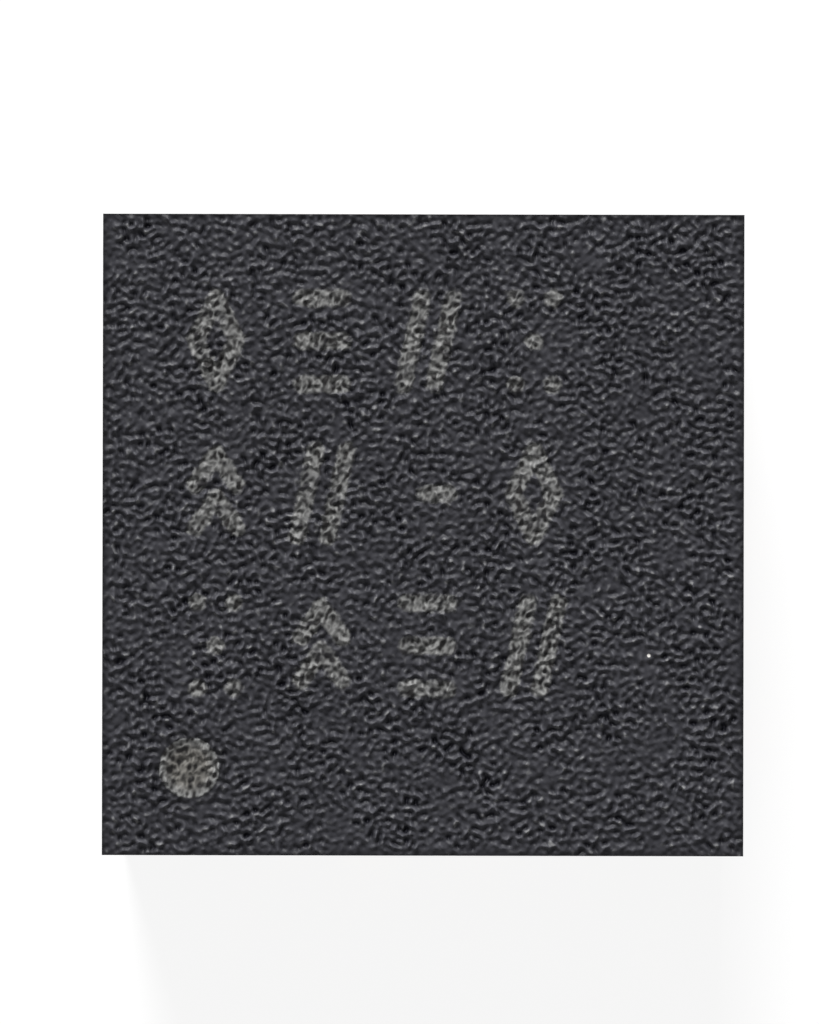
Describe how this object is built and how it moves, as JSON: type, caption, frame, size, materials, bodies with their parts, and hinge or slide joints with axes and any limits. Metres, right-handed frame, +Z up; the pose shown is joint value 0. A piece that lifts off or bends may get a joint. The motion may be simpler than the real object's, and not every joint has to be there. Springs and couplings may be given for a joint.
{
  "type": "voltage regulator",
  "caption": "Square black flat no-lead power chip with tinned solder lands along its sides, a bare thermal pad beneath and a shallow dot at a corner.",
  "frame": {"origin": "centre of the footprint, in the plane of the solder lands", "axes": "+Z up out of the top face, +X to the right and +Y to the back as seen from above with the dot and lead 1 at the front left corner"},
  "size_m": [0.003, 0.003, 0.0009],
  "materials": {
    "mould_epoxy": "fine spark-eroded grain on top, sawn sides",
    "lead_frame": "matte tin over copper, bare copper at the sawn ends",
    "silver_glue": "cured silver-filled epoxy",
    "silicon": "polished silicon with a passivated metal pattern",
    "bond_wire": "drawn copper"
  },
  "bodies": {
    "root": {"epoxy_body": "mould_epoxy", "thermal_pad": "lead_frame", "die_glue": "silver_glue", "silicon_die": "silicon", "lead_01": "lead_frame", "lead_02": "lead_frame", "lead_03": "lead_frame", "lead_04": "lead_frame", "lead_05": "lead_frame", "lead_06": "lead_frame", "lead_07": "lead_frame", "lead_08": "lead_frame", "lead_09": "lead_frame", "lead_10": "lead_frame", "lead_11": "lead_frame", "lead_12": "lead_frame", "lead_13": "lead_frame", "lead_14": "lead_frame", "bond_wire_01": "bond_wire", "bond_wire_02": "bond_wire", "bond_wire_03": "bond_wire", "bond_wire_04": "bond_wire", "bond_wire_05": "bond_wire", "bond_wire_06": "bond_wire", "bond_wire_07": "bond_wire", "bond_wire_08": "bond_wire", "bond_wire_09": "bond_wire", "bond_wire_10": "bond_wire", "bond_wire_11": "bond_wire", "bond_wire_12": "bond_wire", "bond_wire_13": "bond_wire", "bond_wire_14": "bond_wire"}
  },
  "joints": []
}
